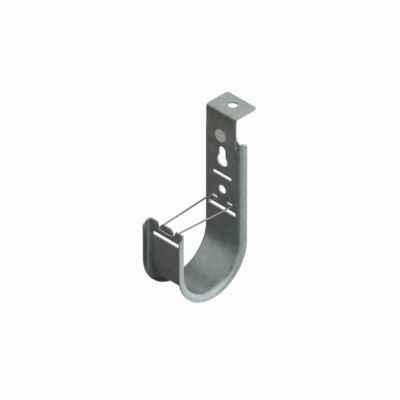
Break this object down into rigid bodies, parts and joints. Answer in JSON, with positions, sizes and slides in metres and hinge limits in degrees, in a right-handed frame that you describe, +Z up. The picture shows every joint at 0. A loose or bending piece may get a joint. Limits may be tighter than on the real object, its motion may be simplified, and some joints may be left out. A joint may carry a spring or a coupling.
{
  "type": "j hook cable support",
  "caption": "Flanged sheet steel J hook that carries a bundle of cables, with a riveted ceiling bracket and a lifting wire retainer across its mouth.",
  "frame": {"origin": "centre of the ceiling hole, on the top face of the bracket's tab", "axes": "+Z up, along the ceiling hole; +X across the hook's width; -Y from the back web towards the lip"},
  "size_m": [0.0358, 0.0781, 0.1341],
  "materials": {
    "hook_sheet": "galvanised, satin",
    "bracket_sheet": "galvanised, satin",
    "rivet_metal": "satin",
    "retainer_wire": "drawn, zinc plated"
  },
  "bodies": {
    "support": {"hook": "hook_sheet", "angle_bracket": "bracket_sheet", "rivet": "rivet_metal"},
    "retainer": {"wire_retainer": "retainer_wire"}
  },
  "joints": [
    {"name": "retainer_lift", "type": "hinge", "parent": "support", "child": "retainer", "pos_m": [0, -0.0098, -0.074], "axis": [-1, 0, 0], "range_deg": [0, 18]}
  ]
}
